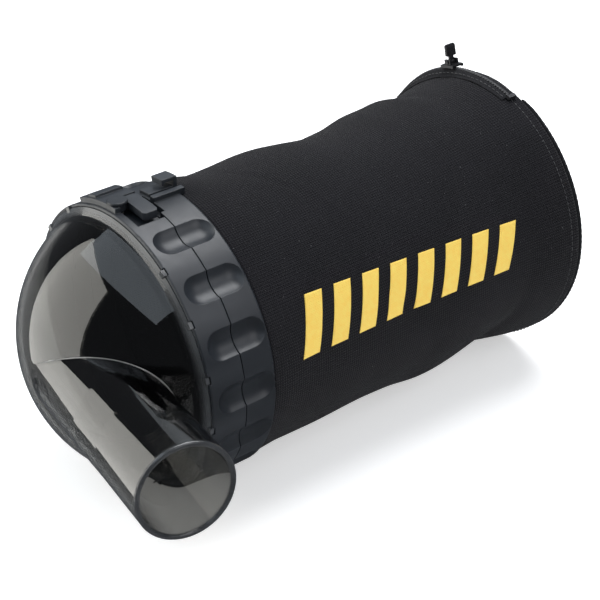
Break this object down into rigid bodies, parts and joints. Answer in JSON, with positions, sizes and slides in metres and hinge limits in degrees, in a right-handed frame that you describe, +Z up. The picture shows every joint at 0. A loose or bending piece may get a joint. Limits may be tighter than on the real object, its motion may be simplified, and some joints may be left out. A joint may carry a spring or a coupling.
{
  "type": "planer chip collection bag",
  "caption": "Chip collection bag for a hand-held planer: clear smoked dome with a side inlet tube, twist-lock collars, round black cloth bag with a zipped end.",
  "frame": {"origin": "under the middle of the bounding box, on the surface that the bag lies on", "axes": "+X along the bag from the clear dome to the zipped end, -Y to the side that the inlet tube points to, +Z up"},
  "size_m": [0.2533, 0.1649, 0.132],
  "materials": {
    "clear_smoked": "gloss",
    "grey_plastic": "satin",
    "black_cloth": "matte",
    "zip_nylon": "matte",
    "black_metal": "satin",
    "steel": "satin",
    "seal_rubber": "matte"
  },
  "bodies": {
    "bag": {"rear_collar": "grey_plastic", "collar_seal": "seal_rubber", "thumb_hook": "grey_plastic", "clamp_ring": "grey_plastic", "neck_binding": "black_cloth", "bag_sleeve": "black_cloth", "end_panel": "black_cloth", "end_piping": "black_cloth", "end_hoop": "steel", "zip_tape_sleeve": "zip_nylon", "zip_tape_panel": "zip_nylon", "zip_coil": "zip_nylon", "zip_stops": "black_metal"},
    "head": {"inlet_elbow": "clear_smoked", "dome_seal": "seal_rubber", "front_collar": "grey_plastic", "lever_pivot_pin": "grey_plastic", "lever_spring": "steel"},
    "lever": {"lock_lever": "grey_plastic"},
    "slider": {"zip_slider": "black_metal"},
    "pull": {"zip_pull": "black_metal", "pull_ribbon": "zip_nylon"}
  },
  "joints": [
    {"name": "collar_twist", "type": "hinge", "parent": "bag", "child": "head", "pos_m": [-0.0721, 0.0176, 0.06], "axis": [1, 0, 0], "range_deg": [0, 21]},
    {"name": "lever_swing", "type": "hinge", "parent": "head", "child": "lever", "pos_m": [-0.0656, 0.02147, 0.11987], "axis": [0, -0.0645, -0.9979], "range_deg": [0, 15], "stiffness_Nm_per_rad": 0.02},
    {"name": "zip_slide", "type": "hinge", "parent": "bag", "child": "slider", "pos_m": [0.1191, 0.0176, 0.06], "axis": [1, 0, 0], "range_deg": [-131, 27]},
    {"name": "zip_pull_flip", "type": "hinge", "parent": "slider", "child": "pull", "pos_m": [0.1191, 0.03381, 0.12501], "axis": [1, 0, 0], "range_deg": [-75, 75]}
  ]
}
